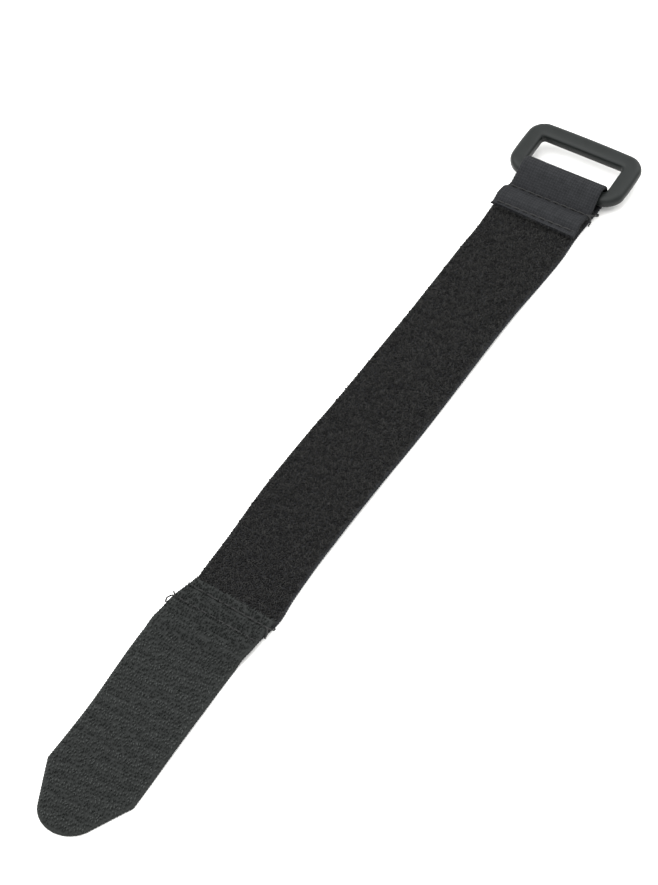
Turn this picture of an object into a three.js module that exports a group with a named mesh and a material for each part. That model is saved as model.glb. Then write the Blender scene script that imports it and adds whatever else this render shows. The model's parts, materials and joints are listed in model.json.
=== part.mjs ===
// Hook-and-loop wrist strap with a moulded ring at one end, in millimetres.
// +X runs along the strap towards the ring, +Y across it and +Z up from the surface it lies on.
// The origin is under the middle of the strap, on that surface.
// The band is soft, so it is built as a chain of short flat links that bend about lines across it.
import * as THREE from "three";
import { Shape, Vector2 } from "three";

// Strap
const TIP_X = -137.8;
const BAND_WIDTH = 25;
const TAB_WIDTH = 25.8;
const TAPE = 1.6;
const LAYER_GAP = 0.3;
const LINK_GAP = 0.6;
const END_CHAMFER = 0.25;

// Bend lines
const FIRST_BEND_X = 98;
const SEAM_BEND_X = -50;
const BAND_LINKS = 9;
const TAB_BEND_X = -74;
const TAB_LINK = 15;
const TAB_LINKS = 3;

// Hook tab
const TAB_END_X = -53;
const BAND_END_X = -66.5;
const STEP_END_X = -71.5;
const NOSE_RADIUS = 8;
const TAPER_X = -120.2;

// Ring
const BAR_X = 120.95;
const BAR_PITCH = 14.5;
const BAR_WIDTH = 3.7;
const OUTER_BAR_WIDTH = 4.9;
const RING_THICKNESS = 3.4;
const RING_INSIDE = 25.6;
const RING_OUTSIDE = 35;
const RING_CORNER = 5;
const SLOT_CORNER = 1;
const RING_BEVEL = 1.2;
const RING_BOW = 0.35;
const RING_TILT = THREE.MathUtils.degToRad(5);

// Fold of the band round the ring's inner bar
const BAR_CLEARANCE = 0.3;
const FOLD_RADIUS = BAR_WIDTH / 2 + BAR_CLEARANCE + TAPE / 2;
const BAR_HEIGHT = FOLD_RADIUS + TAPE / 2;
const FOLD_STEPS = 18;
const FLAP_STITCH_X = [114.3, 106.9];
const FLAP_END_X = 105.4;
const FLAP_CREST = 0.45;
const PINCH = 1.6;

// Stitching
const SEAM_STITCH_X = [-55.8, -61];
const THREAD = 0.55;
const THREAD_GAP = 0.2;
const STITCH_LENGTH = 2.6;
const STITCHES = 9;

// Height of the middle of a tape lying on the surface, and of one lying on top of another tape.
const LOWER = TAPE / 2;
const UPPER = LOWER + TAPE + LAYER_GAP;

const loopTape = new THREE.MeshStandardMaterial({ color: 0x2f2f2e, roughness: 0.95 });
const hookTape = new THREE.MeshStandardMaterial({ color: 0x383a39, roughness: 0.75 });
const thread = new THREE.MeshStandardMaterial({ color: 0x4a4a49, roughness: 0.7 });
const mouldedPlastic = new THREE.MeshStandardMaterial({ color: 0x3f4745, roughness: 0.42 });

const strap = new THREE.Group();

// Adds one named solid to a group.
function add(name, geometry, material, group = strap) {
  const mesh = new THREE.Mesh(geometry, material);
  mesh.name = name;
  group.add(mesh);
  return mesh;
}

// Extrudes an outline drawn in the X-Z plane by a width across the strap, centred on Y = 0.
function acrossStrap(outline, width) {
  const geometry = new THREE.ExtrudeGeometry(outline, { depth: width, bevelEnabled: false });
  geometry.rotateX(Math.PI / 2);
  return geometry.translate(0, width / 2, 0);
}

// Outline of a tape seen from its edge: a line of points thickened by half the tape to each side.
function tapeOutline(points) {
  const left = [];
  const right = [];
  points.forEach((point, i) => {
    const before = points[Math.max(i - 1, 0)];
    const after = points[Math.min(i + 1, points.length - 1)];
    const run = after.clone().sub(before).normalize();
    const side = new Vector2(-run.y, run.x).multiplyScalar(TAPE / 2);
    left.push(point.clone().add(side));
    right.push(point.clone().sub(side));
  });
  return new Shape([...right, ...left.reverse()]);
}

// Outline of a flat link from its edge, with its ends chamfered so that links clear as they bend.
function linkOutline(fromX, toX) {
  const c = END_CHAMFER;
  return new Shape([
    new Vector2(fromX + c, 0),
    new Vector2(toX - c, 0),
    new Vector2(toX, c),
    new Vector2(toX, TAPE - c),
    new Vector2(toX - c, TAPE),
    new Vector2(fromX + c, TAPE),
    new Vector2(fromX, TAPE - c),
    new Vector2(fromX, c),
  ]);
}

// One link between two bend lines, short of each by half the gap between links.
function link(name, nearX, farX, width, material) {
  const outline = linkOutline(farX + LINK_GAP / 2, nearX - LINK_GAP / 2);
  return add(name, acrossStrap(outline, width), material);
}

// A row of lockstitches across the strap: one thread that rises over each stitch and dips between.
function stitchRow(name, x, surfaceZ) {
  const half = (STITCHES * STITCH_LENGTH) / 2;
  const floor = surfaceZ + THREAD_GAP;
  const outline = new Shape();
  outline.moveTo(-half, floor);
  outline.lineTo(half, floor);
  outline.lineTo(half, floor + THREAD / 2);
  for (let i = 0; i < STITCHES; i++) {
    const end = half - (i + 1) * STITCH_LENGTH;
    const crest = end + STITCH_LENGTH / 2;
    outline.quadraticCurveTo(crest, floor + 1.5 * THREAD, end, floor + THREAD / 2);
  }
  const options = { depth: THREAD, bevelEnabled: false, curveSegments: 4 };
  const geometry = new THREE.ExtrudeGeometry(outline, options);
  geometry.rotateX(Math.PI / 2);
  geometry.rotateZ(Math.PI / 2);
  return add(name, geometry.translate(x - THREAD / 2, 0, 0), thread);
}

// Sewn end: the band runs under the ring's inner bar, round it and back on top of itself.
function foldEnd() {
  const flapStart = new Vector2(FLAP_STITCH_X[0] + PINCH / 2, UPPER);
  const bar = new Vector2(BAR_X, BAR_HEIGHT);
  const reach = bar.distanceTo(flapStart);
  const rise = Math.atan2(bar.y - flapStart.y, bar.x - flapStart.x);
  const slope = rise + Math.asin(FOLD_RADIUS / reach);
  const turn = Math.PI + slope;
  const points = [new Vector2(FIRST_BEND_X + LINK_GAP / 2, LOWER)];
  for (let i = 0; i <= FOLD_STEPS; i++) {
    const angle = -Math.PI / 2 + (turn * i) / FOLD_STEPS;
    const offset = new Vector2(Math.cos(angle), Math.sin(angle)).multiplyScalar(FOLD_RADIUS);
    points.push(bar.clone().add(offset));
  }
  const crestX = (FLAP_STITCH_X[0] + FLAP_STITCH_X[1]) / 2;
  points.push(flapStart);
  points.push(new Vector2(FLAP_STITCH_X[0] - PINCH / 2, UPPER));
  points.push(new Vector2(crestX, UPPER + FLAP_CREST));
  points.push(new Vector2(FLAP_STITCH_X[1] + PINCH / 2, UPPER));
  points.push(new Vector2(FLAP_END_X, UPPER));
  add("fold_end", acrossStrap(tapeOutline(points), BAND_WIDTH), loopTape);
}

// Hook tab where it lies on the end of the band, is sewn down and steps down to the surface.
function tabRoot() {
  const step = new THREE.CubicBezierCurve(
    new Vector2(BAND_END_X - LAYER_GAP, UPPER),
    new Vector2((BAND_END_X + STEP_END_X) / 2, UPPER),
    new Vector2((BAND_END_X + STEP_END_X) / 2, LOWER),
    new Vector2(STEP_END_X, LOWER),
  );
  const points = [
    new Vector2(TAB_END_X, UPPER),
    ...step.getPoints(8),
    new Vector2(TAB_BEND_X + LINK_GAP / 2, LOWER),
  ];
  add("tab_root", acrossStrap(tapeOutline(points), TAB_WIDTH), hookTape);
}

// Last piece of the hook tab: straight sides that taper to a round nose.
function tabTip() {
  const startX = TAB_BEND_X - TAB_LINKS * TAB_LINK - LINK_GAP / 2;
  const noseX = TIP_X + NOSE_RADIUS;
  const corner = new Vector2(TAPER_X - noseX, TAB_WIDTH / 2);
  const tangent = corner.angle() + Math.acos(NOSE_RADIUS / corner.length());
  const outline = new Shape();
  outline.moveTo(startX, -TAB_WIDTH / 2);
  outline.lineTo(startX, TAB_WIDTH / 2);
  outline.lineTo(TAPER_X, TAB_WIDTH / 2);
  outline.absarc(noseX, 0, NOSE_RADIUS, tangent, 2 * Math.PI - tangent, false);
  outline.lineTo(TAPER_X, -TAB_WIDTH / 2);
  const options = { depth: TAPE, bevelEnabled: false, curveSegments: 24 };
  add("tab_tip", new THREE.ExtrudeGeometry(outline, options), hookTape);
}

// Rounded rectangle centred on (x, 0), its short sides bowed out by a little.
function roundedRectangle(path, fromX, toX, halfWidth, corner, bow) {
  const middle = (fromX + toX) / 2;
  path.moveTo(fromX + corner, -halfWidth);
  path.quadraticCurveTo(middle, -halfWidth - 2 * bow, toX - corner, -halfWidth);
  path.absarc(toX - corner, -halfWidth + corner, corner, -Math.PI / 2, 0, false);
  path.lineTo(toX, halfWidth - corner);
  path.absarc(toX - corner, halfWidth - corner, corner, 0, Math.PI / 2, false);
  path.quadraticCurveTo(middle, halfWidth + 2 * bow, fromX + corner, halfWidth);
  path.absarc(fromX + corner, halfWidth - corner, corner, Math.PI / 2, Math.PI, false);
  path.lineTo(fromX, -halfWidth + corner);
  path.absarc(fromX + corner, -halfWidth + corner, corner, Math.PI, 1.5 * Math.PI, false);
  return path;
}

// Moulded ring, drawn from the axis of its inner bar and turned about it.
function ring() {
  const nearX = -BAR_WIDTH / 2;
  const farX = BAR_PITCH + OUTER_BAR_WIDTH / 2;
  const slotEndX = BAR_PITCH - OUTER_BAR_WIDTH / 2;
  const outside = RING_OUTSIDE / 2 - RING_BOW;
  const outline = roundedRectangle(new Shape(), nearX, farX, outside, RING_CORNER, RING_BOW);
  const slot = new THREE.Path();
  outline.holes.push(
    roundedRectangle(slot, BAR_WIDTH / 2, slotEndX, RING_INSIDE / 2, SLOT_CORNER, 0),
  );
  const geometry = new THREE.ExtrudeGeometry(outline, {
    depth: RING_THICKNESS - 2 * RING_BEVEL,
    bevelThickness: RING_BEVEL,
    bevelSize: RING_BEVEL,
    bevelOffset: -RING_BEVEL,
    bevelSegments: 4,
    curveSegments: 8,
  });
  geometry.translate(0, 0, RING_BEVEL - RING_THICKNESS / 2);
  const turned = new THREE.Group();
  turned.position.set(BAR_X, 0, BAR_HEIGHT);
  turned.rotation.y = -RING_TILT;
  add("ring", geometry, mouldedPlastic, turned);
  strap.add(turned);
}

ring();
foldEnd();
FLAP_STITCH_X.forEach((x, i) => {
  stitchRow(`flap_stitching_${i + 1}`, x, UPPER + TAPE / 2);
});

const bandLink = (FIRST_BEND_X - SEAM_BEND_X) / BAND_LINKS;
for (let i = 0; i < BAND_LINKS; i++) {
  const nearX = FIRST_BEND_X - i * bandLink;
  link(`band_link_${i + 1}`, nearX, nearX - bandLink, BAND_WIDTH, loopTape);
}

link("band_end", SEAM_BEND_X, BAND_END_X - LINK_GAP / 2, BAND_WIDTH, loopTape);
tabRoot();
SEAM_STITCH_X.forEach((x, i) => {
  stitchRow(`seam_stitching_${i + 1}`, x, UPPER + TAPE / 2);
});

for (let i = 0; i < TAB_LINKS; i++) {
  const nearX = TAB_BEND_X - i * TAB_LINK;
  link(`tab_link_${i + 1}`, nearX, nearX - TAB_LINK, TAB_WIDTH, hookTape);
}
tabTip();

export default strap;
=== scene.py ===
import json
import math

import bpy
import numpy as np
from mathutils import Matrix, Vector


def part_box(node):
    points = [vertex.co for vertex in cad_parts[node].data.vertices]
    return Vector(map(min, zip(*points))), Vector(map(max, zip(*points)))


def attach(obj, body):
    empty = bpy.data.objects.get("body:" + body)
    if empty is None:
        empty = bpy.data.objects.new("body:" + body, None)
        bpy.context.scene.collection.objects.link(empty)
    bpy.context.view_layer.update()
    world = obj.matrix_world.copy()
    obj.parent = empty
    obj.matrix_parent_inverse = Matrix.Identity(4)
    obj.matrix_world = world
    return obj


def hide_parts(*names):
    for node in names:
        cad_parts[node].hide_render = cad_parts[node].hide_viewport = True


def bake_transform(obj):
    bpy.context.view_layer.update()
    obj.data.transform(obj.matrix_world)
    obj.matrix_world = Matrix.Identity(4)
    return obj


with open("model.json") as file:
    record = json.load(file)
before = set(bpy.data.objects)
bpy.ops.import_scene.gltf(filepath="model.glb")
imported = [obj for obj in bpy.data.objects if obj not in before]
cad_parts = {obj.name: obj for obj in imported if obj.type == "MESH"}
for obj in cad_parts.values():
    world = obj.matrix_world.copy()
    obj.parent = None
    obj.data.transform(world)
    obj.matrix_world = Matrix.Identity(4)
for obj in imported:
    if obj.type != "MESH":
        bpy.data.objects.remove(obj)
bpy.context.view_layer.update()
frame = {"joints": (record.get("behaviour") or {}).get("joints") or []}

# %% [markdown]
# # A hook-and-loop wrist strap
#
# The strap is one soft band with loop pile on its upper face, a tab of hook tape sewn to one end,
# and a moulded ring held in a sewn fold at the other. The CAD frame above fixes every size, joint
# and body. This lesson builds only the looks around it: the knitted pile, the woven ground, the
# hooks, the stitches and the plastic.
#
# Every shape here is a function worked out on whole numpy arrays, in millimetres, and turned to
# metres once, where the mesh is made.

MM = 0.001
TAU = 2 * math.pi
NYLON_IOR = 1.53

# %% [markdown]
# ## Places come from the frame
#
# The bend lines, the ring's axis and the ends of each tape are read from the imported model, so the
# cloth always meets the links. A piece of cloth runs from the middle of one link to the middle of
# the next.


# %% Read the joints and the ends of the tapes
def span(node, axis=0):
    """Lowest and highest place of a CAD node along one axis, in mm."""
    low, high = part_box(node)
    return low[axis] / MM, high[axis] / MM


joint = {j["name"]: j for j in frame["joints"]}
place = {name: np.array(j["pos_m"]) / MM for name, j in joint.items()}
band_bends = [n for n in joint if n.startswith("band_bend")]
tab_bends = [n for n in joint if n.startswith("tab_bend")]
BAR_X, BAR_Z = place["ring_swing"][0], place["ring_swing"][2]

TAPE = span("band_link_1", 2)[1]
BAND_WIDTH = 2 * span("band_link_1", 1)[1]
TAB_WIDTH = 2 * span("tab_link_1", 1)[1]
BAND_END_X = span("band_end")[0]
TAB_END_X = span("tab_root")[1]
TIP_X = span("tab_tip")[0]
FLAP_STITCH_X = [sum(span(f"flap_stitching_{i}")) / 2 for i in (1, 2)]
SEAM_STITCH_X = [sum(span(f"seam_stitching_{i}")) / 2 for i in (1, 2)]
print("band bends at", [round(place[n][0], 1) for n in band_bends])
print("tab bends at", [round(place[n][0], 1) for n in tab_bends])

# %% [markdown]
# ## Camera, floor and light
#
# The strap lies slantwise on a pale table and is seen from above its tab end with a long lens, so
# its edges stay almost parallel. A long lens and a large distance go together: the pair keeps the
# object the same size and flattens the perspective.

# %% Camera
VIEW_AZIMUTH = math.radians(-59.34)
VIEW_ELEVATION = math.radians(47.0)
VIEW_DISTANCE = 1.2
VIEW_AIM = Vector((0.0077, 0.0074, 0.0))
LENS = 186.6

back = Vector((
    math.sin(VIEW_AZIMUTH) * math.cos(VIEW_ELEVATION),
    -math.cos(VIEW_AZIMUTH) * math.cos(VIEW_ELEVATION),
    math.sin(VIEW_ELEVATION),
))
camera_data = bpy.data.cameras.new("camera")
camera_data.sensor_width = 36
camera_data.lens = LENS
camera_data.clip_start, camera_data.clip_end = 0.05, 20
camera = bpy.data.objects.new("camera", camera_data)
camera.location = VIEW_AIM + back * VIEW_DISTANCE
camera.rotation_mode = "QUATERNION"
camera.rotation_quaternion = (-back).to_track_quat("-Z", "Y")
bpy.context.scene.collection.objects.link(camera)
bpy.context.scene.camera = camera
print("camera at", [round(v, 3) for v in camera.location])

# %% [markdown]
# Soft studio light is a very large lamp overhead, a smaller and weaker one at the side, and a
# bright room. The lamps' sizes set how soft the highlights on the ring are, and the room fills the
# shadows in the pile.


# %% Lights and room
def area_light(name, where, size, power):
    """A square lamp at a point in metres, turned to face the middle of the strap."""
    data = bpy.data.lights.new(name, "AREA")
    data.size = size
    data.energy = power
    lamp = bpy.data.objects.new(name, data)
    lamp.location = where
    lamp.rotation_mode = "QUATERNION"
    lamp.rotation_quaternion = Vector(where).to_track_quat("Z", "Y")
    bpy.context.scene.collection.objects.link(lamp)


area_light("softbox_over", (-0.15, 0.4, 1.2), 1.8, 30)
area_light("softbox_side", (0.9, -0.35, 0.8), 0.8, 5)

room = bpy.data.worlds.new("room")
room.use_nodes = True
room.node_tree.nodes["Background"].inputs["Color"].default_value = (1, 1, 1, 1)
room.node_tree.nodes["Background"].inputs["Strength"].default_value = 1.5
bpy.context.scene.world = room
bpy.context.scene.view_settings.view_transform = "Standard"

# %% [markdown]
# ## Small helpers
#
# A colour is written as the sRGB hex that a paint chart would give, and Blender's shaders want
# linear light, so one function converts it. Another adds a shader node with its settings and links
# in one call, and a third starts a material with its shader. The last turns arrays of points and
# quads into a mesh.


# %% Colour and node helpers
def linear(hex_colour):
    """sRGB hex such as '#3a3c3b' to linear red, green, blue and alpha."""
    srgb = np.array([int(hex_colour[i:i + 2], 16) for i in (1, 3, 5)]) / 255
    light = np.where(srgb <= 0.04045, srgb / 12.92, ((srgb + 0.055) / 1.055) ** 2.4)
    return (*light.tolist(), 1.0)


def add_node(tree, kind, settings=None, links=None):
    """One shader node. settings: a property name, or an input's name or number, to its value.
    links: an input's name or number to the (node, output) that feeds it."""
    node = tree.nodes.new(kind)
    for key, value in (settings or {}).items():
        if isinstance(key, str) and hasattr(node, key):
            setattr(node, key, value)
        else:
            node.inputs[key].default_value = value
    for key, (source, output) in (links or {}).items():
        tree.links.new(source.outputs[output], node.inputs[key])
    return node


def new_material(name):
    """An empty node material with a Principled shader on its output."""
    material = bpy.data.materials.new(name)
    material.use_nodes = True
    material.node_tree.nodes.clear()
    shader = add_node(material.node_tree, "ShaderNodeBsdfPrincipled")
    add_node(material.node_tree, "ShaderNodeOutputMaterial", links={"Surface": (shader, "BSDF")})
    return material, material.node_tree, shader


# %% Mesh helper
def make_mesh(name, points, quads, material, uv=None, tone=None, sharp=60):
    """A closed mesh from points in mm (n, 3) and quads (m, 4), shaded smooth up to a sharp angle.
    uv (n, 2) is in mm along and across the cloth; tone (n,) is a shade from 0 to 1."""
    points = np.asarray(points, float).reshape(-1, 3)
    quads = np.asarray(quads, np.int32).reshape(-1, 4)
    mesh = bpy.data.meshes.new(name)
    mesh.vertices.add(len(points))
    mesh.vertices.foreach_set("co", (points * MM).astype(np.float32).ravel())
    mesh.loops.add(quads.size)
    mesh.loops.foreach_set("vertex_index", quads.ravel())
    mesh.polygons.add(len(quads))
    mesh.polygons.foreach_set("loop_start", np.arange(0, quads.size, 4, dtype=np.int32))
    mesh.polygons.foreach_set("use_smooth", np.ones(len(quads), bool))
    mesh.update(calc_edges=True)
    if uv is not None:
        layer = mesh.uv_layers.new(name="cloth")
        layer.data.foreach_set("uv", np.asarray(uv, np.float32)[quads.ravel()].ravel())
    if tone is not None:
        shade = mesh.attributes.new("tone", "FLOAT", "POINT")
        shade.data.foreach_set("value", np.asarray(tone, np.float32))
    mesh.set_sharp_from_angle(angle=math.radians(sharp))
    mesh.materials.append(material)
    piece = bpy.data.objects.new(name, mesh)
    bpy.context.scene.collection.objects.link(piece)
    return piece


# %% [markdown]
# A studio table is painted board. One large square does for it, as only its pale, matt colour and
# the strap's faint shadow are seen. It lies a hair below the strap, so that no face of the strap
# lies in its plane.

# %% Floor
floor_material, floor_tree, floor_shader = new_material("painted_table_pale")
floor_shader.inputs["Base Color"].default_value = linear("#f1f1ef")
floor_shader.inputs["Roughness"].default_value = 0.8
FLOOR_HALF, FLOOR_Z = 3000, -0.03
floor_corners = [(-1, -1), (1, -1), (1, 1), (-1, 1)]
floor = make_mesh(
    "floor",
    [(x * FLOOR_HALF, y * FLOOR_HALF, FLOOR_Z) for x, y in floor_corners],
    [(0, 1, 2, 3)],
    floor_material,
)
print("floor", 2 * FLOOR_HALF / 1000, "m square, at z", FLOOR_Z, "mm")

# %% [markdown]
# ## Materials
#
# Woven nylon first. A plain weave is a chequer of little humps: on one square the warp lies on
# top, on the next the weft. A Checker texture chooses between two Wave textures, one along the
# cloth and one across it, and the result drives the bump and a slight painted shade that darkens
# the hollows between the humps. Threads run along the cloth's own UV map, so they bend with it.
# Real ones are about 0.4 mm apart, too fine to see from a metre away, so they are drawn at 0.8 mm.
# Threads could be modelled one by one, but they stand out of the tape by a twentieth of a
# millimetre, and a bump shows that as well.


# %% Woven nylon ground
WAVE_PER_UNIT = math.pi / 10  # the Wave texture's Scale that gives one wave to each unit


def weave_height(tree, thread_mm):
    """Height of a plain weave: humps one thread apart, from the cloth's UV map in mm."""
    uv = add_node(tree, "ShaderNodeUVMap", {"uv_map": "cloth"})
    threads = add_node(
        tree,
        "ShaderNodeMapping",
        {"Scale": (1 / thread_mm, 1 / thread_mm, 1)},
        {"Vector": (uv, "UV")},
    )
    warp = add_node(
        tree,
        "ShaderNodeTexWave",
        {"bands_direction": "Y", "Scale": WAVE_PER_UNIT, "Distortion": 0.0},
        {"Vector": (threads, "Vector")},
    )
    weft = add_node(
        tree,
        "ShaderNodeTexWave",
        {"bands_direction": "X", "Scale": WAVE_PER_UNIT, "Distortion": 0.0},
        {"Vector": (threads, "Vector")},
    )
    chequer = add_node(
        tree, "ShaderNodeTexChecker", {"Scale": 1.0}, {"Vector": (threads, "Vector")}
    )
    height = add_node(
        tree,
        "ShaderNodeMix",
        {"data_type": "FLOAT"},
        {0: (chequer, "Fac"), 2: (warp, "Fac"), 3: (weft, "Fac")},
    )
    return uv, height


def woven_nylon(name, dark, light, thread_mm, roughness, bump_mm):
    """Woven nylon tape: a plain weave in relief, with painted shade in its hollows and random patches of
    darker and lighter tone.
    """
    material, tree, shader = new_material(name)
    uv, height = weave_height(tree, thread_mm)
    mottling = add_node(
        tree,
        "ShaderNodeTexNoise",
        {"Scale": 0.5, "Detail": 4.0, "Roughness": 0.7},
        {"Vector": (uv, "UV")},
    )
    # Painted shade: the hollows of the weave are coloured darker, and random mottling is added on top.
    shade = add_node(
        tree,
        "ShaderNodeMath",
        {"operation": "MULTIPLY_ADD", 1: 0.5},
        {0: (height, 0), 2: (mottling, "Fac")},
    )
    hollow_shade_and_mottling = add_node(tree, "ShaderNodeMapRange", {1: 0.4, 2: 1.1}, {0: (shade, 0)})
    colour = add_node(
        tree,
        "ShaderNodeMix",
        {"data_type": "RGBA", 6: linear(dark), 7: linear(light)},
        {0: (hollow_shade_and_mottling, 0)},
    )
    bump = add_node(
        tree,
        "ShaderNodeBump",
        {"Strength": 1.0, "Distance": bump_mm * MM},
        {"Height": (height, 0)},
    )
    tree.links.new(colour.outputs[2], shader.inputs["Base Color"])
    tree.links.new(bump.outputs["Normal"], shader.inputs["Normal"])
    shader.inputs["Roughness"].default_value = roughness
    shader.inputs["IOR"].default_value = NYLON_IOR
    shader.inputs["Specular IOR Level"].default_value = 0.12
    return material


THREAD_PITCH = 0.8  # drawn coarser: the real threads are about 0.4 mm apart
loop_ground = woven_nylon("woven_nylon_loop_tape", "#111214", "#222325", THREAD_PITCH, 0.75, 0.05)
hook_ground = woven_nylon("woven_nylon_hook_tape", "#181a19", "#232524", THREAD_PITCH, 0.7, 0.05)
print("woven nylon, threads", THREAD_PITCH, "mm apart")

# %% [markdown]
# The pile and the hooks are both nylon, and they look different because of their filaments. Pile
# is soft, crimped multifilament: it scatters light and reads matte and darker. Hooks are single
# stiff filaments, smooth and a little shiny, so the tab reads lighter. Each loop and each hook
# carries its own shade in an attribute, as dyed yarn never takes colour quite evenly.


# %% Nylon yarns
def nylon_yarn(name, dark, light, roughness, specular):
    """Dyed nylon yarn or filament, its shade varied from one loop or hook to the next."""
    material, tree, shader = new_material(name)
    tone = add_node(tree, "ShaderNodeAttribute", {"attribute_name": "tone"})
    colour = add_node(
        tree,
        "ShaderNodeMix",
        {"data_type": "RGBA", 6: linear(dark), 7: linear(light)},
        {0: (tone, "Fac")},
    )
    tree.links.new(colour.outputs[2], shader.inputs["Base Color"])
    shader.inputs["Roughness"].default_value = roughness
    shader.inputs["IOR"].default_value = NYLON_IOR
    shader.inputs["Specular IOR Level"].default_value = specular
    return material


pile_yarn = nylon_yarn("crimped_nylon_pile", "#1a1a1a", "#313130", 0.95, 0.05)
hook_filament = nylon_yarn("nylon_hook_filament", "#1e201f", "#3e403f", 0.8, 0.06)
sewing_thread = nylon_yarn("twisted_polyester_thread", "#222222", "#2f2f2f", 0.6, 0.15)
print("yarns", pile_yarn.name, hook_filament.name, sewing_thread.name)

# %% [markdown]
# The ring is injection-moulded nylon. Its mould was lightly textured, so it has a satin skin with
# a fine grain. Handling polishes the crowns of its bars a little; here the gloss only varies in
# slow patches.


# %% Moulded nylon
def moulded_nylon(name, dark, light, gloss):
    """Moulded nylon: a fine grain in relief, and slow patches of shade and of roughness, which
    goes between the two numbers in gloss."""
    material, tree, shader = new_material(name)
    where = add_node(tree, "ShaderNodeTexCoord")
    grain = add_node(
        tree,
        "ShaderNodeTexNoise",
        {"Scale": 2200.0, "Detail": 2.0, "Roughness": 0.5},
        {"Vector": (where, "Object")},
    )
    flow = add_node(
        tree,
        "ShaderNodeTexNoise",
        {"Scale": 160.0, "Detail": 3.0, "Roughness": 0.6},
        {"Vector": (where, "Object")},
    )
    colour = add_node(
        tree,
        "ShaderNodeMix",
        {"data_type": "RGBA", 6: linear(dark), 7: linear(light)},
        {0: (flow, "Fac")},
    )
    roughness = add_node(
        tree,
        "ShaderNodeMapRange",
        {1: 0.3, 2: 0.7, 3: gloss[0], 4: gloss[1]},
        {0: (flow, "Fac")},
    )
    bump = add_node(
        tree, "ShaderNodeBump", {"Strength": 0.5, "Distance": 0.02 * MM}, {"Height": (grain, "Fac")}
    )
    tree.links.new(colour.outputs[2], shader.inputs["Base Color"])
    tree.links.new(roughness.outputs[0], shader.inputs["Roughness"])
    tree.links.new(bump.outputs["Normal"], shader.inputs["Normal"])
    shader.inputs["IOR"].default_value = NYLON_IOR
    shader.inputs["Specular IOR Level"].default_value = 0.17
    return material


ring_plastic = moulded_nylon("moulded_nylon_satin", "#0a0d0c", "#131716", (0.34, 0.46))
print("ring material", ring_plastic.name)

# %% [markdown]
# ## How a tape lies
#
# A tape is a line seen from its edge, the path, carried across its width. The path gives x and z
# for each length along it, and the side that points to the pile or the hooks is its normal. One
# function lays any point of the cloth: so far along, so far across, so far above the middle of the
# tape. Everything else, from the ground cloth to a single hook, is placed by it.
#
# No strap lies dead straight. A small sway to the side and a lift of half a millimetre off the
# table, both smooth functions of x, keep it from looking ruled.


# %% Paths and laying
def smooth_through(x, places, values):
    """A smooth curve through a few places and values: cubics that share a slope at each place."""
    places, values = np.asarray(places, float), np.asarray(values, float)
    slope = np.gradient(values, places)
    i = np.clip(np.searchsorted(places, x) - 1, 0, len(places) - 2)
    run = places[i + 1] - places[i]
    t = np.clip((x - places[i]) / run, 0, 1)
    ease = t * t * (3 - 2 * t)
    bend = run * (slope[i] * t * (1 - t) ** 2 - slope[i + 1] * t * t * (1 - t))
    return values[i] * (1 - ease) + values[i + 1] * ease + bend


SWAY = {
    -138: -1.1, -122: -0.65, -110: -0.5, -98: -0.2, -86: 0.45, -78: 0.9, -70: 1.0, -65: 0.35,
    -60: 0.1, -52: -0.9, -45: -0.43, -38: -0.15, -20: 0.4, -8: 0.55, 4: 0.6, 22: 0.4, 40: 0.3,
    60: 0.3, 76: 0.5, 88: 0.5, 98: 0.4, 108: 0.9, 113: 0.7, 116: 0.3, 119: 0.1, 126: 0.1,
}
LIFT = {-122: 0, -120: 0, -95: 0.4, -74: 0, -45: 0, -12: 0.6, 20: 0.1, 62: 0.7, 92: 0, 98: 0, 99: 0}


def sway(x):
    """How far the strap strays to the side, in mm: a lazy curve, most at the tab."""
    return smooth_through(x, list(SWAY), list(SWAY.values()))


def lift(x):
    """How far the middle of the strap rises off the table between its low points, in mm."""
    return np.clip(smooth_through(x, list(LIFT), list(LIFT.values())), 0, None)


def flat_path(s):
    """The band: x is the length along it, and z its middle above the table."""
    return s, TAPE / 2 + lift(s)


PRESSED = 0.45  # how far the stitches press the tab into the pile under it
SEAM_Z = span("tab_root", 2)[1] - TAPE / 2 - PRESSED
STEP_FROM_X, STEP_TO_X = BAND_END_X - 0.3, BAND_END_X - 5.6  # where the tab steps down


def tab_path(s):
    """The hook tab: on top of the band's end, pressed into its pile, then down to the table."""
    t = np.clip((s - STEP_FROM_X) / (STEP_TO_X - STEP_FROM_X), 0, 1)
    down = t * t * (3 - 2 * t)
    low = TAPE / 2 + lift(s)
    return s, SEAM_Z + (low - SEAM_Z) * down


SEAM_SLANT = 0.1
SLANT_FROM_X, SLANT_TO_X = -77, -63
SLOPE_REACH = 0.05


def lay(path, s, y, above):
    """Points (..., 3) in mm at length s, across y and a height above the tape's middle. The tab
    was sewn on askew: from SLANT_FROM_X to SLANT_TO_X it turns by SEAM_SLANT mm per mm across.
    The slope of the path is taken SLOPE_REACH mm to each side of s."""
    if path is tab_path:
        t = np.clip((s - SLANT_FROM_X) / (SLANT_TO_X - SLANT_FROM_X), 0, 1)
        s = s + SEAM_SLANT * y * t * t * (3 - 2 * t)
    x0, z0 = path(s - SLOPE_REACH)
    x1, z1 = path(s + SLOPE_REACH)
    x, z = path(s)
    run = np.hypot(x1 - x0, z1 - z0)
    normal_x, normal_z = -(z1 - z0) / run, (x1 - x0) / run
    return np.stack([x + above * normal_x, y + sway(x), z + above * normal_z], -1)


print("sway", [round(float(sway(x)), 2) for x in (-120, -60, 0, 60)], "mm at x -120, -60, 0, 60")

# %% [markdown]
# A closed piece of ground cloth is two sheets, its face and its back, on the same grid, joined by
# their edges and their ends. All the quads come from one table of indices, so there is no loop
# over vertices and no gap anywhere.


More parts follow.
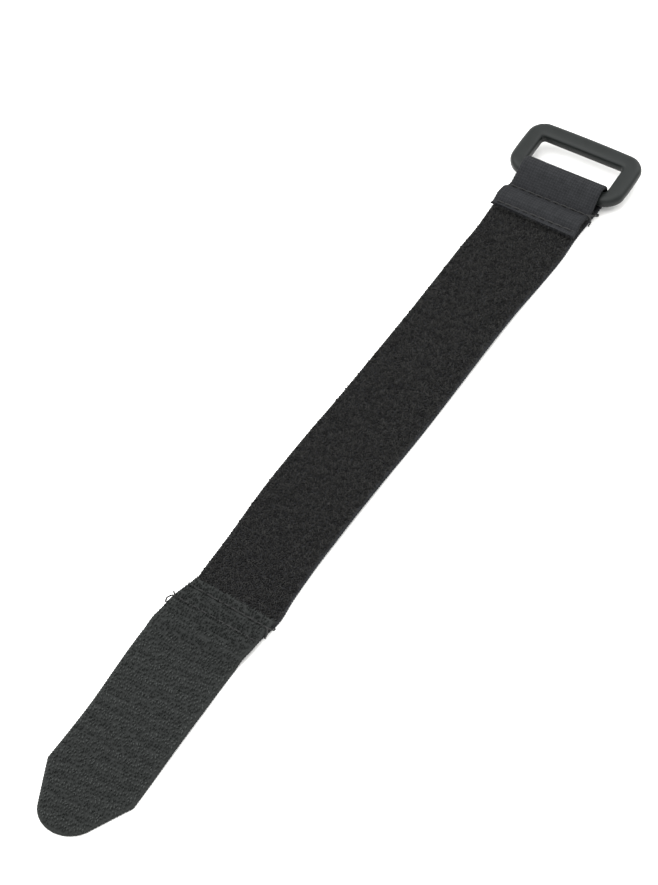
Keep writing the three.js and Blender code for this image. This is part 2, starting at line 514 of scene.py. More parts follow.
# %% Ground cloth from two sheets
def closed_sheets(face, back_sheet):
    """Points and quads of a solid between two sheets of points (along, across, 3)."""
    n, m, _ = face.shape
    top = np.arange(n * m).reshape(n, m)
    low = top + n * m

    def strip(a, b):
        """Quads between two rows of indices, wound from a to b."""
        return np.stack([a[:-1], b[:-1], b[1:], a[1:]], -1).reshape(-1, 4)

    quads = [
        np.stack([top[:-1, :-1], top[1:, :-1], top[1:, 1:], top[:-1, 1:]], -1).reshape(-1, 4),
        np.stack([low[:-1, :-1], low[:-1, 1:], low[1:, 1:], low[1:, :-1]], -1).reshape(-1, 4),
        strip(top[:, 0], low[:, 0]),
        strip(low[:, -1], top[:, -1]),
        strip(low[0], top[0]),
        strip(top[-1], low[-1]),
    ]
    points = np.concatenate([face.reshape(-1, 3), back_sheet.reshape(-1, 3)])
    return points, np.concatenate(quads)


COLUMNS = 61
CROWDING = 0.35
SELVEDGE = 0.5
ROUND_OFF = 0.96
RIPPLE, RIPPLE_PITCH = 0.06, 0.9


def columns():
    """Places across a tape from -1 to 1, closer together towards the selvedges."""
    t = np.linspace(-1, 1, COLUMNS)
    return np.sin(t * math.pi / 2) * CROWDING + t * (1 - CROWDING)


def ground_cloth(path, s, half_width, face_at, back_at):
    """Ground of a tape. s (along, across) is in mm; half_width, face_at and back_at are numbers
    or arrays of that shape. Each selvedge is rounded and ripples a little as the weft turns."""
    v = columns()[None, :]
    half = half_width + RIPPLE * np.sin(TAU * s / RIPPLE_PITCH) * np.abs(v) ** 8
    y = v * half
    inset = np.clip((np.abs(y) - (half - SELVEDGE)) / SELVEDGE, 0, 1)
    middle = (face_at + back_at) / 2
    thick = (face_at - back_at) / 2 * np.sqrt(1 - ROUND_OFF * inset**2)
    face = lay(path, s, y, middle + thick)
    back_sheet = lay(path, s, y, middle - thick)
    points, quads = closed_sheets(face, back_sheet)
    uv = np.stack([s, y + 0 * s], -1).reshape(-1, 2)
    return points, quads, np.concatenate([uv, uv])


# %% [markdown]
# ## Loops and hooks
#
# Pile could be a bump or a hair system. A bump stays flat at the strap's edges, and hair is not a
# closed surface, so each loop is modelled: the strap's whole character is that mottled pile. A loop
# is an arch of yarn: its foot goes into the ground, it rises, leans over and comes down again. To
# make thousands at once, the arch is worked out once for every loop in an array of shape (loops,
# rings, sides), with a few dozen faces each. Hooks are made the same way, with another path.


# %% Tubes carried along many paths at once
def tubes(spine, side, radius, sides=4):
    """Closed tubes along many spines. spine (n, rings, 3) in mm; side (n, 3) is a direction square
    to each spine; radius (n,) or a number. Each end is closed by quads that share its first
    corner. Returns points, quads and the tube each point is on."""
    n, rings, _ = spine.shape
    run = np.gradient(spine, axis=1)
    run /= np.linalg.norm(run, axis=-1, keepdims=True)
    side = np.broadcast_to(side[:, None, :], spine.shape)
    side = side - (side * run).sum(-1, keepdims=True) * run
    side /= np.linalg.norm(side, axis=-1, keepdims=True)
    other = np.cross(run, side)
    angle = TAU * np.arange(sides) / sides
    circle = np.cos(angle)[:, None] * side[:, :, None, :] + np.sin(angle)[:, None] * other[:, :, None, :]
    size = np.broadcast_to(np.asarray(radius, float), (n,))[:, None, None, None]
    points = spine[:, :, None, :] + size * circle
    index = np.arange(n * rings * sides).reshape(n, rings, sides)
    turned = np.roll(index, -1, axis=2)
    walls = np.stack([index[:, :-1], turned[:, :-1], turned[:, 1:], index[:, 1:]], -1)
    first, last = index[:, 0], index[:, -1]
    quads = [walls.reshape(-1, 4)]
    for k in range(sides // 2 - 1):
        corner = [0, 2 * k + 1, 2 * k + 2, 2 * k + 3]
        quads += [first[:, corner[::-1]], last[:, corner]]
    return points.reshape(-1, 3), np.concatenate(quads), np.repeat(np.arange(n), rings * sides)


OFF_AXIS = [0.31, 0.87, 0.38]  # a direction that hardly any spine starts along


def square_to(spine):
    """One direction square to the first run of each spine, for carrying a tube along it."""
    run = spine[:, 1] - spine[:, 0]
    across = np.cross(run, OFF_AXIS)
    return across / np.linalg.norm(across, axis=-1, keepdims=True)


PATCH_WAVES = 24


def patches(s, y, wave_mm, seed):
    """A smooth random field between about -1 and 1: many waves of nearly one length, each its own
    way, added up."""
    draw = np.random.default_rng(seed)
    heading, phase = draw.uniform(0, TAU, (2, PATCH_WAVES))
    length = wave_mm * draw.uniform(0.6, 1.8, PATCH_WAVES)
    along = s[..., None] * np.cos(heading) + y[..., None] * np.sin(heading)
    return np.cos(TAU * along / length + phase).sum(-1) / math.sqrt(PATCH_WAVES)


# %% [markdown]
# Cloth has no hinge, so each piece is cut half way along a link. Neighbours agree at every cut.

# %% Cuts between the bends
def between(bends, first, last):
    """Where cloth is cut: at first, half way between each two bend lines, and at last."""
    x = np.array([place[n][0] for n in bends])
    return [first, *((x[1:] + x[:-1]) / 2), last]


FOLD_CUT = 101.5
band_cuts = between(band_bends, FOLD_CUT, BAND_END_X)
tab_cuts = between(tab_bends, TAB_END_X, TIP_X)
print("band cut at", np.round(band_cuts, 1), "tab cut at", np.round(tab_cuts, 1))


def bend_with(piece):
    """The piece's placement is baked into its mesh; it is given no body and no bend."""
    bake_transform(piece)


# %% [markdown]
# ## The loop band
#
# Loop tape is a woven ground with the pile knitted through it, and along each edge a narrow
# selvedge has no pile. Here the ground is two thirds of the tape's thickness, and the loops stand
# on it.
# Each length of band has its own ground and its own loops.

# %% Loop band: its outline and its loops
GROUND_FACE, GROUND_BACK = 0.28, -TAPE / 2
PILE_SELVEDGE = 0.5
LOOPS_PER_MM = 2.2
LOOP_HEIGHT = 0.56
LOOP_RADIUS = 0.13
LOOP_ROOT = 0.08
LOOP_RINGS = 5
CLUMP = 3.0
ROW_STEP = 0.24
BAND_FLARE = {
    -66: 0.3, -52: 0.4, -45: 0.15, -34: 0.0, -20: 0.25, 10: 0.42, 46: 0.13, 60: 0.0, 76: 0.17,
    88: 0.5, 98: 0.55, 108: 0.5, 113: 0.35, 116: 0.0, 119: -0.15, 126: -0.15,
}


def length_rows(start, end):
    """Rows (n, 1) along a length of tape in mm, from the lower end to the higher."""
    low, high = sorted((start, end))
    return np.linspace(low, high, int((high - low) / ROW_STEP) + 2)[:, None]


def band_half_width(s):
    """Half of the band's width in mm: woven tape varies by half a millimetre along its length."""
    return BAND_WIDTH / 2 + smooth_through(s, list(BAND_FLARE), list(BAND_FLARE.values()))


def scatter(low, high, half_width, per_mm, draw):
    """Random places along and across a tape: a square grid with every point nudged."""
    pitch = 1 / per_mm
    s, y = np.meshgrid(
        np.arange(low + pitch / 2, high, pitch), np.arange(-half_width, half_width, pitch)
    )
    nudge = draw.uniform(-0.45, 0.45, (2, *s.shape)) * pitch
    return (s + nudge[0]).ravel(), (y + nudge[1]).ravel()


def pile_loops(name, path, low, high, seed):
    """Loops of pile on a length of tape. A loop is half a turn: t from 0 to 1 runs from foot to
    foot, height follows a half sine, and the crown leans over one way by its own amount."""
    draw = np.random.default_rng(seed)
    s, y = scatter(low, high, BAND_WIDTH / 2 + 0.4, LOOPS_PER_MM, draw)
    kept = np.abs(y) < band_half_width(s) - PILE_SELVEDGE
    s, y = s[kept], y[kept]
    clump = patches(s, y, CLUMP, 11)
    t = np.linspace(0, 1, LOOP_RINGS)
    rise = np.sin(math.pi * t) ** 0.7
    way = draw.uniform(0, TAU, len(s))
    lean = draw.uniform(0.1, 0.5, len(s))
    open_by = draw.uniform(0.25, 0.55, len(s))
    out = lean[:, None] * rise + open_by[:, None] * (t - 0.5)
    height = LOOP_HEIGHT * (1 + 0.14 * clump + draw.uniform(-0.12, 0.12, len(s)))
    along = s[:, None] + out * np.cos(way)[:, None]
    across = y[:, None] + out * np.sin(way)[:, None]
    spine = lay(path, along, across, GROUND_FACE - LOOP_ROOT + height[:, None] * rise)
    radius = LOOP_RADIUS * draw.uniform(0.75, 1.25, len(s))
    points, quads, loop = tubes(spine, square_to(spine), radius)
    tone = np.clip(0.5 + 0.25 * clump + draw.normal(0, 0.28, len(s)), 0, 1)[loop]
    return make_mesh(name, points, quads, pile_yarn, tone=tone)


# %% Make the band, one length for each bend
for k, bend in enumerate(band_bends):
    start, end = band_cuts[k], band_cuts[k + 1]
    s = length_rows(start, end) + np.zeros((1, COLUMNS))
    points, quads, uv = ground_cloth(flat_path, s, band_half_width(s), GROUND_FACE, GROUND_BACK)
    ground = make_mesh(f"band_ground_{k + 1}", points, quads, loop_ground, uv=uv)
    pile = pile_loops(f"band_pile_{k + 1}", flat_path, end, start, seed=100 + k)
    # Under the tab the band is stiff. Each piece's placement is baked into its mesh.
    for piece in (ground, pile):
        bend_with(piece)
    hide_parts(f"band_link_{k + 1}" if k < len(band_bends) - 1 else "band_end")
    print(ground.name, len(ground.data.vertices), "points;", pile.name, len(pile.data.polygons), "quads")

# %% [markdown]
# ## The sewn end
#
# The band runs under the ring's inner bar, round it and back on top of itself, and two rows of
# stitches hold the flap. Thread pulls the cloth down, so the flap is pinched at each row and puffs
# up between. Its raw end was cut a little askew. A cloth simulation could find this shape, but the
# stitches and the bar fix nearly all of it. So the path is drawn: an arc round the bar and a few
# points for the flap, spaced evenly along its length and eased at the corners.

# %% Fold round the bar
FOLD_RADIUS = BAR_Z - TAPE / 2
FLAP_Z = span("tab_root", 2)[1] - TAPE / 2 - 0.35
FLAP_PUFF = 1.0
CREST_HALF = 1.4
PINCH = 0.8
FLAP_END_X = FLAP_STITCH_X[1] - 1.5
FOLD_EASE = 0.3
ARC_POINTS = 60
LEAD_IN, OVERRUN = 4, 3


def fold_centreline():
    """The fold seen from its edge: flat run, arc round the bar, tangent down to the flap."""
    land = np.array([FLAP_STITCH_X[0] + PINCH, FLAP_Z])
    bar = np.array([BAR_X + FOLD_EASE, BAR_Z])
    gap = bar - land
    slope = math.atan2(gap[1], gap[0]) + math.asin(FOLD_RADIUS / np.hypot(*gap))
    turn = np.linspace(-math.pi / 2, math.pi / 2 + slope, ARC_POINTS)
    arc = bar + FOLD_RADIUS * np.stack([np.cos(turn), np.sin(turn)], -1)
    first, second = FLAP_STITCH_X
    crest = (first + second) / 2
    flap = [
        land,
        (first - PINCH, FLAP_Z),
        (crest + CREST_HALF, FLAP_Z + FLAP_PUFF * 0.9),
        (crest - CREST_HALF, FLAP_Z + FLAP_PUFF),
        (second + PINCH, FLAP_Z),
        (second - PINCH, FLAP_Z),
        (FLAP_END_X - OVERRUN, FLAP_Z - 0.1),
    ]
    return np.concatenate([[(FOLD_CUT - LEAD_IN, TAPE / 2)], arc, flap])


corners = fold_centreline()
runs = np.hypot(*np.diff(corners, axis=0).T)
corner_s = corners[0, 0] + np.concatenate([[0], np.cumsum(runs)])
EVEN_STEP = 0.05
even_s = np.arange(corner_s[0], corner_s[-1], EVEN_STEP)
EASE_STEPS = 33
EASE = np.hanning(EASE_STEPS) / np.hanning(EASE_STEPS).sum()


def eased(values):
    """Values along the fold with their corners rounded over EASE_STEPS steps, about 1.6 mm."""
    padded = np.pad(values, EASE_STEPS // 2, mode="reflect", reflect_type="odd")
    return np.convolve(padded, EASE, mode="valid")


fold_x = eased(np.interp(even_s, corner_s, corners[:, 0]))
fold_z = eased(np.interp(even_s, corner_s, corners[:, 1]))


def fold_path(s):
    """x and z of the middle of the tape at length s along the fold."""
    return np.interp(s, even_s, fold_x), np.interp(s, even_s, fold_z)


on_flap = even_s > corner_s[1 + 3 * ARC_POINTS // 4]
stitch_s = [even_s[on_flap][np.argmin(np.abs(fold_x[on_flap] - x))] for x in FLAP_STITCH_X]
raw_s = even_s[on_flap][np.argmin(np.abs(fold_x[on_flap] - FLAP_END_X))]
print("fold", round(raw_s - FOLD_CUT, 1), "mm of tape, stitches at", np.round(stitch_s, 1))


def stitch_pinch(s, rows, width):
    """1 on each row of stitches, falling smoothly to 0 at a distance of width."""
    return sum(np.exp(-(((s - row) / width) ** 2)) for row in rows)


# %% Make the fold and the pile under it
RAW_SLANT = -0.5
FLAP_FACE = 0.25
STITCH_LENGTH = 2.6
STITCH_REACH = 0.7
STITCH_THIN, STITCH_BEAD = 0.3, 0.09
FLAT_RUN_END_X = 118
v = columns()[None, :]
s = length_rows(FOLD_CUT, raw_s)
past = np.clip((s - stitch_s[1] - PINCH) / (raw_s - stitch_s[1] - PINCH), 0, 1)
s = s + past * RAW_SLANT * v
pinched = stitch_pinch(s, stitch_s, STITCH_REACH)
thin = STITCH_THIN * pinched
beads = STITCH_BEAD * pinched * np.cos(TAU * v * BAND_WIDTH / 2 / STITCH_LENGTH)
points, quads, uv = ground_cloth(
    fold_path, s, band_half_width(fold_path(s)[0]), FLAP_FACE - thin / 2, -TAPE / 2 + thin + beads
)
fold = make_mesh("fold_tape", points, quads, loop_ground, uv=uv)
fold_pile = pile_loops("fold_pile", flat_path, FOLD_CUT, FLAT_RUN_END_X, seed=140)
for piece in (fold, fold_pile):
    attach(piece, "sewn_end")
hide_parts("fold_end")
print("fold_pile", len(fold_pile.data.polygons), "quads")

# %% [markdown]
# ## The hook tab
#
# Hook tape is the same kind of woven ground with rows of stiff little hooks, made by weaving in
# single-filament loops and cutting each on one side. The tab lies on top of the band's end, is
# sewn through both, and steps down to the table. Its far end tapers to a round nose, so that it
# starts easily through the ring. The outline is a formula of x, so the same grid that makes the
# straight part makes the nose, and the hooks can be kept inside it by the same function.

# %% Hook tab: its outline
HOOK_FACE = 0.12
HOOK_SELVEDGE = 0.6
HOOK_ROW, HOOK_COLUMN, HOOK_RADIUS = 1.1, 0.8, 0.14
HOOK_JITTER = 0.16
CROOK_RADIUS, CROOK_Z = 0.24, 0.38
STEM = [(0, -0.1), (0, 0.15), (0, 0.33)]
RIB_PITCH, RIB_SHADE = 4.8, 0.26
NOSE_RADIUS = 8.4
NOSE_X = TIP_X + NOSE_RADIUS
TAPER_X = -120.2
TAPER_SHIFT = 1.4
SEAM_DEPTH = 0.12
TIP_FACE, TIP_BACK, TIP_REACH = 0.2, 0.15, 0.5
TAB_FLARE = {TAPER_X: 0.45, -98: 0.15, -84: 0.45, -70: 0.6, -60: 0.45, -53: -0.3}


def tab_half_width(s, y):
    """Half the tab's width on the side of y: straight, then a line that just touches the nose's
    circle. The taper was cut by hand, so it starts a little earlier on the +y side."""
    start = TAPER_X + TAPER_SHIFT * np.sign(y)
    corner_x, corner_y = start - NOSE_X, TAB_WIDTH / 2 + TAB_FLARE[TAPER_X]
    reach = np.hypot(corner_x, corner_y)
    tangent = np.arctan2(corner_y, corner_x) + np.arccos(NOSE_RADIUS / reach)
    touch_x, touch_y = NOSE_X + NOSE_RADIUS * np.cos(tangent), NOSE_RADIUS * np.sin(tangent)
    straight = TAB_WIDTH / 2 + smooth_through(s, list(TAB_FLARE), list(TAB_FLARE.values()))
    taper = corner_y + (s - start) * (corner_y - touch_y) / (start - touch_x)
    circle = np.sqrt(np.clip(NOSE_RADIUS**2 - (s - NOSE_X) ** 2, 0.3, None))
    return np.where(s < touch_x, circle, np.where(s < start, taper, straight))


# %% Hooks
def hooks(name, path, low, high, seed):
    """Hooks in rows on a length of tape. A hook climbs straight along STEM, then turns over in
    five eighths of a circle, the crook. Each leans and turns a little its own way."""
    draw = np.random.default_rng(seed)
    row_x = np.arange(math.ceil(low / HOOK_ROW), math.ceil(high / HOOK_ROW)) * HOOK_ROW
    column_y = np.arange(-TAB_WIDTH / 2 - 0.5, TAB_WIDTH / 2 + 0.5, HOOK_COLUMN)
    s, y = np.meshgrid(row_x, column_y, indexing="ij")
    stagger = (np.arange(len(row_x)) % 2)[:, None] * HOOK_COLUMN / 2
    s = (s + draw.normal(0, HOOK_JITTER, s.shape)).ravel()
    y = (y + stagger + draw.normal(0, HOOK_JITTER, y.shape)).ravel()
    kept = np.abs(y) < tab_half_width(s, y) - HOOK_SELVEDGE
    kept &= stitch_pinch(s, SEAM_STITCH_X, 0.35) < 0.5
    kept &= (s < TAB_END_X - 0.4) & (s > TIP_X + 0.8)
    s, y = s[kept], y[kept]
    bow = np.linspace(math.pi, -0.25 * math.pi, 6)
    crook = CROOK_RADIUS * np.stack([1 + np.cos(bow), np.sin(bow)], -1) + (0, CROOK_Z)
    shape = np.concatenate([STEM, crook])
    way = np.where(draw.random(len(s)) < 0.5, 0, math.pi) + draw.normal(0, 0.35, len(s))
    bent = draw.normal(0, 0.14, len(s))[:, None]
    height = draw.uniform(0.9, 1.08, len(s))[:, None] * shape[:, 1]
    out = shape[:, 0] + bent * shape[:, 1]
    along = s[:, None] + out * np.cos(way)[:, None]
    across = y[:, None] + out * np.sin(way)[:, None] + draw.normal(0, 0.1, len(s))[:, None] * height
    spine = lay(path, along, across, HOOK_FACE + height)
    side = np.stack([-np.sin(way), np.cos(way), np.zeros(len(s))], -1)
    points, quads, which = tubes(spine, side, HOOK_RADIUS)
    rib = RIB_SHADE * np.cos(TAU * s / RIB_PITCH)
    worn = 0.55 * np.clip((s - SLANT_FROM_X) / (TAB_END_X - SLANT_FROM_X), 0, 1)
    tone = 0.55 + rib - worn + 0.11 * patches(s, y, 3.5, 21) + draw.normal(0, 0.07, len(s))
    tone = np.clip(tone, 0, 1)[which]
    return make_mesh(name, points, quads, hook_filament, tone=tone)


# %% Make the tab, one length for each bend
NODES_UNDER_TAB = [["tab_root"], ["tab_link_1"], ["tab_link_2"], ["tab_link_3", "tab_tip"]]
for k, bend in enumerate(tab_bends):
    start, end = tab_cuts[k], tab_cuts[k + 1]
    s = length_rows(start, end) + np.zeros((1, COLUMNS))
    pinched = stitch_pinch(s, SEAM_STITCH_X, 0.6)
    ends = np.exp(-(s - TIP_X) / TIP_REACH)
    face_at = HOOK_FACE - SEAM_DEPTH * pinched - TIP_FACE * ends
    back_at = -TAPE / 2 + SEAM_DEPTH * pinched + TIP_BACK * ends
    points, quads, uv = ground_cloth(tab_path, s, tab_half_width(s, columns()), face_at, back_at)
    ground = make_mesh(f"tab_ground_{k + 1}", points, quads, hook_ground, uv=uv)
    crop = hooks(f"tab_hooks_{k + 1}", tab_path, end, start, seed=200 + k)
    x = place[bend][0]
    # The first piece starts on the stiff seam. Each piece's placement is baked into its mesh.
    for piece in (ground, crop):
        bend_with(piece)
    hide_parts(*NODES_UNDER_TAB[k])
    print(ground.name, len(ground.data.vertices), "points;", crop.name, len(crop.data.polygons), "quads")

# %% [markdown]
# ## Stitches
#
# A lockstitch has one thread on top and one below, which lock at every needle hole. Each row is
# made as the thread runs: from hole to hole it lies on the cloth and at each hole it dips in. Two
# plies are twisted together, and at the ends of a row the sewer left a tail that curls free. A
# bevelled curve could carry the thread, but meshes keep every piece closed and of one kind.


# %% Thread
THREAD_PLY = 0.15
PLY_TWIST, PLY_SPREAD = 1.1, 0.8
THREAD_STEP = 0.16
ROW_POINTS = 160
TAIL_POINTS, TAIL_EASE = 24, 21


def plied_thread(name, line, body, seed):
    """A two-ply thread along a line (n, 3) in mm. Each ply circles the line once every
    PLY_TWIST mm, half a turn behind the other."""
    steps = np.linalg.norm(np.diff(line, axis=0), axis=1)
    length = np.concatenate([[0], np.cumsum(steps)])
    even = np.linspace(0, length[-1], int(length[-1] / THREAD_STEP))
    core = np.stack([np.interp(even, length, line[:, i]) for i in range(3)], -1)
    run = np.gradient(core, axis=0)
    run /= np.linalg.norm(run, axis=1, keepdims=True)
    flat = np.cross(run, [0.05, 0.03, 1.0])
    flat /= np.linalg.norm(flat, axis=1, keepdims=True)
    up = np.cross(flat, run)
    turn = TAU * even / PLY_TWIST + np.random.default_rng(seed).uniform(0, TAU)
    plies = []
    for half_turn in (0, math.pi):
        circle = np.cos(turn + half_turn)[:, None] * flat + np.sin(turn + half_turn)[:, None] * up
        plies.append(core + PLY_SPREAD * THREAD_PLY * circle)
    spine = np.stack(plies)
    points, quads, which = tubes(spine, square_to(spine), THREAD_PLY, sides=6)
    shade = np.random.default_rng(seed + 1).normal(0.5, 0.15, 2)[which]
    thread = make_mesh(name, points, quads, sewing_thread, tone=np.clip(shade, 0, 1))
    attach(thread, body)
    return thread


def tail(start, steps):
    """A smooth curve that leaves start by a list of steps (along x, y, up) in mm."""
    points = start + np.concatenate([[(0, 0, 0)], np.cumsum(steps, axis=0)])
    t = np.linspace(0, len(points) - 1, TAIL_POINTS * (len(points) - 1))
    curve = np.stack([np.interp(t, np.arange(len(points)), points[:, i]) for i in range(3)], -1)
    weight = np.hanning(TAIL_EASE) / np.hanning(TAIL_EASE).sum()
    smooth = [
        np.convolve(np.pad(c, TAIL_EASE // 2, mode="reflect", reflect_type="odd"), weight, "valid")
        for c in curve.T
    ]
    return np.stack(smooth, -1)


# %% Rows of stitches
def stitch_line(path, s, half, above, dip, first_tail, last_tail):
    """The line of one row: across the tape from +half to -half, dipping at every hole, with a
    tail at each end."""
    across = np.linspace(half, -half, ROW_POINTS)
    hole = np.abs(np.sin(math.pi * (half - across) / STITCH_LENGTH))
    row = lay(path, np.full(ROW_POINTS, s), across, above - dip * (1 - hole) ** 2)
    return np.concatenate([tail(row[0], first_tail)[::-1], row, tail(row[-1], last_tail)])


# The flap shows the tape's back, so above and dip have the other sign there.
NO_TAIL = [(0.0, 0.2, -0.3), (0.0, 0.1, -0.3)]
FLIP = np.array([1, -1, 1])
THREAD_ON_FLAP = 0.09 - TAPE / 2
THREAD_ON_TAB = HOOK_FACE + 0.15
FLAP_DIP, SEAM_DIP = -0.5, 0.6
FLAP_HALF, SEAM_HALF = 12.0, 12.2
rows = [
    ("flap_thread_1", "flap_stitching_1", fold_path, stitch_s[0],
     NO_TAIL, [(0.5, -1.3, 0.0), (1.1, -1.2, -0.4), (1.1, 0.5, -0.5), (-0.1, 1.0, -0.4)]),
    ("flap_thread_2", "flap_stitching_2", fold_path, stitch_s[1],
     [(-0.3, 0.6, 0.1), (-0.9, 0.5, -0.4)], NO_TAIL * FLIP),
    ("seam_thread_1", "seam_stitching_1", tab_path, SEAM_STITCH_X[0],
     NO_TAIL, [(-0.4, -0.7, 0.1), (-1.1, -0.6, -0.6), (-0.9, 0.2, -0.9)]),
    ("seam_thread_2", "seam_stitching_2", tab_path, SEAM_STITCH_X[1],
     [(0.5, 0.8, 0.2), (0.9, 0.9, 0.1)], NO_TAIL * FLIP),
]
for k, (name, node, path, s, first_tail, last_tail) in enumerate(rows):
    if path is fold_path:
        line = stitch_line(path, s, FLAP_HALF, THREAD_ON_FLAP, FLAP_DIP, first_tail, last_tail)
        thread = plied_thread(name, line, "sewn_end", seed=300 + 10 * k)
    else:
        line = stitch_line(path, s, SEAM_HALF, THREAD_ON_TAB, SEAM_DIP, first_tail, last_tail)
        thread = plied_thread(name, line, "seam", seed=300 + 10 * k)
    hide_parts(node)
    print(name, "at x", round(float(line[len(line) // 2, 0]), 1), "z", round(float(line[:, 2].max()), 2))

# %% [markdown]
# Where a row starts or stops, the lower thread is cut too and leaves a short end. A few of them
# stick out past the selvedges, as they do on a strap that was sewn in a hurry.

# %% Loose ends of thread
loose_ends = [
    ("flap_loose_thread", fold_path, stitch_s[0], -12.2, -TAPE / 2, "sewn_end",
     [(-0.5, -1.1, -0.1), (-0.9, -0.5, -0.7), (-0.9, 0.2, -0.8)]),
    ("seam_loose_thread_1", tab_path, SEAM_STITCH_X[0], -12.4, HOOK_FACE, "seam",
     [(0.2, -1.0, -0.2), (0.8, -0.7, -0.7), (0.9, 0.3, -0.5)]),
    ("seam_loose_thread_2", tab_path, SEAM_STITCH_X[1], 12.4, HOOK_FACE, "seam",
     [(-0.2, 1.0, 0.2), (-1.2, 0.8, -0.2), (-1.0, -0.2, -0.6)]),
]
for k, (name, path, s, y, above, body, steps) in enumerate(loose_ends):
    start = lay(path, np.array(s), np.array(y), np.array(above))
    plied_thread(name, tail(start, steps), body, seed=350 + 10 * k)
print(len(loose_ends), "loose ends")

# %% [markdown]
# Woven tape frays where it is cut, even when it is sealed with heat. Each raw end gets a row of
# short filaments that point outwards and bend at random, which also softens the cut line.

# %% Frayed raw ends
FIBRE_RADIUS, FIBRES, FIBRE_STEPS = 0.05, 170, 4


def frayed_end(name, path, s, outward, above, material, body, seed):
    """Short filaments out of a raw end at length s. They start between the heights in above and
    run outward (1 or -1) along x, each a chain of short steps that bends by its own angle."""
    draw = np.random.default_rng(seed)
    y = draw.uniform(-1, 1, FIBRES) * BAND_WIDTH / 2
    root = lay(path, np.full(FIBRES, s), y, draw.uniform(*above, FIBRES))
    heading = draw.normal(0, 0.45, FIBRES)[:, None] + draw.normal(0, 0.4, (FIBRES, FIBRE_STEPS)).cumsum(1)
    pitch = draw.normal(0, 0.25, FIBRES)[:, None] + draw.normal(0, 0.25, (FIBRES, FIBRE_STEPS)).cumsum(1)
    step = draw.uniform(0.06, 0.28, FIBRES)[:, None]
    steps = np.stack([outward * np.cos(heading) * np.cos(pitch), np.sin(heading), np.sin(pitch)], -1)
    spine = root[:, None, :] + np.cumsum(steps * step[..., None], axis=1)
    points, quads, which = tubes(spine, square_to(spine), FIBRE_RADIUS)
    tone = draw.uniform(0.3, 1.0, FIBRES)[which]
    fringe = make_mesh(name, points, quads, material, tone=tone)
    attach(fringe, body)


frayed_end("flap_fray", fold_path, raw_s, -1, (-0.7, 0.1), pile_yarn, "sewn_end", 401)
frayed_end("tab_fray", tab_path, TAB_END_X, 1, (-0.6, 0.0), hook_filament, "seam", 402)
print("frayed ends:", 2 * FIBRES, "filaments")

# %% [markdown]
# ## The ring
#
# One moulded frame with rounded bars. Its outline outside is a rectangle with large corners and
# sides that bow out a little, and inside a slot with nearly square corners. The two outlines are
# walked together, and at each step a rounded section is spread between them, so the frame is one
# closed surface with two parameters: round the frame, and round the section. A bevelled curve
# would give it the same bar all round, and this ring's outer bar is wider than its inner one.

# %% Ring: its outlines
RING_HALF = span("ring", 1)[1]
RING_TILT = math.radians(5)
BAR_HALF, OUTER_BAR_HALF = 1.85, 2.5
BAR_PITCH = 14.9
SLOT_HALF = 12.6
CORNER_NEAR, CORNER_FAR, SLOT_CORNER = 5.2, 4.4, 1.0
SIDE_BOW, FAR_BOW, BOW_SQUARE = 0.5, 0.4, 6
SIDE_INSET = 0.35
RING_SHIFT = 0.15
RING_THICKNESS = 3.4
SIDE_STEPS, CORNER_STEPS, SECTION_STEPS = 30, 14, 32
OUTSIDE_ROUNDNESS, INSIDE_ROUNDNESS = 2.5, 4.0


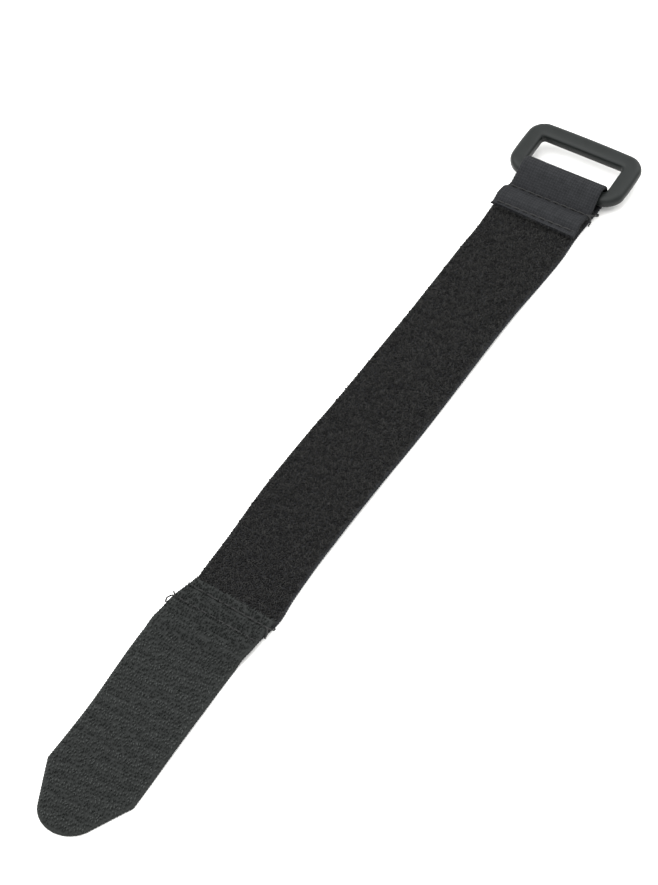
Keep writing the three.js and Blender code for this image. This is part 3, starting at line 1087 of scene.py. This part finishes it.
def rounded_outline(near, far, half, corners, side_bow, far_bow):
    """Points round a rectangle, anticlockwise from its far corner at +y. Sides take SIDE_STEPS
    each and corners CORNER_STEPS. corners is the near and the far radius. The short sides bow out
    by the parabola side_bow * (1 - u^2), and the far one by far_bow * (1 - u^2). A power of the
    distance from the middle keeps each bow to its own side."""
    near_r, far_r = corners
    centres = [(far - far_r, half - far_r, far_r), (near + near_r, half - near_r, near_r),
               (near + near_r, -half + near_r, near_r), (far - far_r, -half + far_r, far_r)]
    turn = np.linspace(0, math.pi / 2, CORNER_STEPS)
    arcs = [
        np.stack([cx + r * np.cos(turn + k * math.pi / 2), cy + r * np.sin(turn + k * math.pi / 2)], -1)
        for k, (cx, cy, r) in enumerate(centres)
    ]
    t = np.linspace(0, 1, SIDE_STEPS + 2)[1:-1, None]
    sides = [arcs[k][-1] * (1 - t) + arcs[(k + 1) % 4][0] * t for k in range(4)]
    x, y = np.concatenate([part for pair in zip(arcs, sides) for part in pair]).T
    along = np.clip((x - near) / (far - near), 0, 1) * 2 - 1
    y = y + np.sign(y) * side_bow * (1 - along**2) * (np.abs(y) / half) ** BOW_SQUARE
    x = x + far_bow * (1 - (y / half) ** 2).clip(0) * ((along + 1) / 2) ** BOW_SQUARE
    return np.stack([x, y], -1)


far = BAR_PITCH + OUTER_BAR_HALF
outside = rounded_outline(
    -BAR_HALF, far, RING_HALF - SIDE_INSET, (CORNER_NEAR, CORNER_FAR), SIDE_BOW, FAR_BOW
)
inside = rounded_outline(
    BAR_HALF, BAR_PITCH - OUTER_BAR_HALF, SLOT_HALF, (SLOT_CORNER, SLOT_CORNER), 0.0, 0.0
)
print("ring outlines", len(outside), "points each")

# %% Ring: its section and its mesh
turn = TAU * np.arange(SECTION_STEPS) / SECTION_STEPS
roundness = np.where(np.cos(turn) > 0, OUTSIDE_ROUNDNESS, INSIDE_ROUNDNESS)


def squared(wave):
    """A sine or cosine pushed outwards, so that a circle becomes a rounded square."""
    return np.sign(wave) * np.abs(wave) ** (2 / roundness)


middle = (outside + inside) / 2
reach = (outside - inside) / 2
flat = middle[:, None, :] + squared(np.cos(turn))[None, :, None] * reach[:, None, :]
bar_height = (RING_THICKNESS / 2) * squared(np.sin(turn))[None, :] * np.ones((len(middle), 1))
x, y = flat[..., 0], flat[..., 1] + RING_SHIFT
ring_points = np.stack([
    BAR_X + x * math.cos(RING_TILT) - bar_height * math.sin(RING_TILT),
    y,
    BAR_Z + x * math.sin(RING_TILT) + bar_height * math.cos(RING_TILT),
], -1)
n, m, _ = ring_points.shape
index = np.arange(n * m).reshape(n, m)
along, around = np.roll(index, -1, axis=0), np.roll(index, -1, axis=1)
both = np.roll(along, -1, axis=1)
ring_quads = np.stack([index, along, both, around], -1).reshape(-1, 4)
ring = make_mesh("moulded_ring", ring_points, ring_quads, ring_plastic)
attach(ring, "ring")
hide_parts("ring")
a, b, c, d = (ring_points.reshape(-1, 3)[ring_quads[:, i]] for i in range(4))
volume = float((a * (np.cross(b, c) + np.cross(c, d))).sum() / 6)
print("ring volume", round(volume), "mm3, positive when its faces point out")
